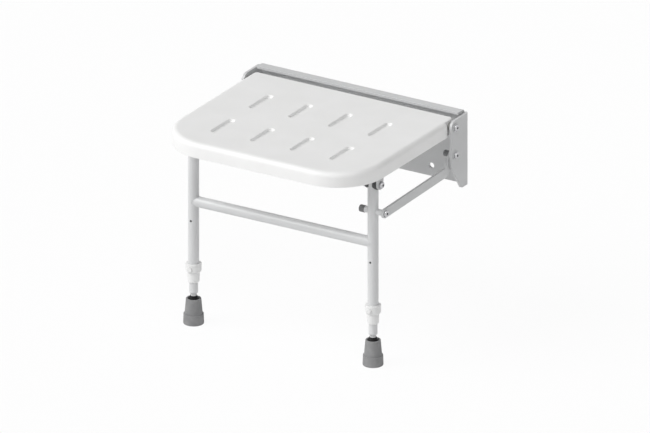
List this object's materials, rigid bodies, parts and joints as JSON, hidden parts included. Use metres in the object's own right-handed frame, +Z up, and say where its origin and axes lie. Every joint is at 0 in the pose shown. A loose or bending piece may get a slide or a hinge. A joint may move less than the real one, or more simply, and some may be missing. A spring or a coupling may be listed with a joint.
{
  "type": "wall-mounted folding shower seat",
  "caption": "Fold-up shower seat: moulded white seat with grip recesses on a steel wall plate, with a braced leg frame whose feet adjust in height",
  "frame": {"origin": "centre of the four wall fixing holes, on the wall plate's back face", "axes": "+X along the wall towards the link side (right for someone facing the wall), +Y into the wall, +Z up"},
  "size_m": [0.499, 0.4187, 0.4455],
  "materials": {
    "white_plastic": "moulded, semi-matt",
    "painted_steel": "pale grey powder coat, satin",
    "bolt_steel": "stainless, satin",
    "dark_plastic": "moulded, satin",
    "pale_plastic": "nylon, satin",
    "grey_rubber": "moulded, matt",
    "black_rubber": "moulded, matt"
  },
  "bodies": {
    "wall_bracket": {"wall_plate": "painted_steel", "seat_pivot_bolts": "bolt_steel", "seat_pivot_washers": "painted_steel", "seat_pivot_inner_washers": "bolt_steel", "seat_pivot_nuts": "bolt_steel", "link_pivot_bolt": "bolt_steel", "link_pivot_washer": "painted_steel", "link_shim": "pale_plastic", "link_pivot_spacer": "dark_plastic", "link_pivot_cap_nut": "dark_plastic"},
    "seat": {"seat_shell": "white_plastic", "side_rail_left": "painted_steel", "side_rail_right": "painted_steel", "cross_rail_front": "painted_steel", "cross_rail_rear": "painted_steel", "leg_bracket_left": "painted_steel", "leg_bracket_right": "painted_steel", "seat_hinge_bushes": "pale_plastic", "seat_screws": "bolt_steel", "leg_pivot_bolts": "bolt_steel", "leg_pivot_washers": "bolt_steel", "leg_pivot_nuts": "bolt_steel"},
    "leg_frame": {"leg_tube_left": "painted_steel", "leg_tube_right": "painted_steel", "cross_tube": "painted_steel", "leg_top_plugs": "pale_plastic", "leg_saddles": "dark_plastic", "link_end_bolt": "bolt_steel", "link_end_sleeve": "pale_plastic", "link_end_saddle": "pale_plastic", "link_end_cap_nut": "dark_plastic", "leg_collar_left": "white_plastic", "leg_collar_right": "white_plastic"},
    "link": {"link_arm": "painted_steel", "link_bushes": "pale_plastic"},
    "foot_left": {"inner_leg_left": "painted_steel", "inner_leg_glide_left": "pale_plastic", "ferrule_left": "grey_rubber", "ferrule_insert_left": "black_rubber"},
    "latch_left": {"button_left": "white_plastic", "latch_ring_left": "bolt_steel"},
    "foot_right": {"inner_leg_right": "painted_steel", "inner_leg_glide_right": "pale_plastic", "ferrule_right": "grey_rubber", "ferrule_insert_right": "black_rubber"},
    "latch_right": {"button_right": "white_plastic", "latch_ring_right": "bolt_steel"}
  },
  "joints": [
    {"name": "seat_fold", "type": "hinge", "parent": "wall_bracket", "child": "seat", "pos_m": [0, -0.052, 0.0665], "axis": [-1, 0, 0], "range_deg": [0, 90]},
    {"name": "leg_fold", "type": "hinge", "parent": "seat", "child": "leg_frame", "pos_m": [0, -0.3072, 0.0295], "axis": [-1, 0, 0], "range_deg": [-90, 0]},
    {"name": "link_fold", "type": "hinge", "parent": "wall_bracket", "child": "link", "pos_m": [0.235, -0.052, 0.0075], "axis": [-1, 0, 0], "range_deg": [0, 90]},
    {"name": "foot_left_height", "type": "slide", "parent": "leg_frame", "child": "foot_left", "axis": [0, 0, -1], "range_m": [0, 0.1]},
    {"name": "button_left_press", "type": "slide", "parent": "leg_frame", "child": "latch_left", "axis": [0, 1, 0], "range_m": [0, 0.002], "stiffness_N_per_m": 800, "springref_m": -0.002},
    {"name": "foot_right_height", "type": "slide", "parent": "leg_frame", "child": "foot_right", "axis": [0, 0, -1], "range_m": [0, 0.1]},
    {"name": "button_right_press", "type": "slide", "parent": "leg_frame", "child": "latch_right", "axis": [0, 1, 0], "range_m": [0, 0.002], "stiffness_N_per_m": 800, "springref_m": -0.002}
  ],
  "couplings": [
    {"joint": "leg_fold", "follows": "seat_fold", "ratio": -1},
    {"joint": "link_fold", "follows": "seat_fold", "ratio": 1}
  ]
}
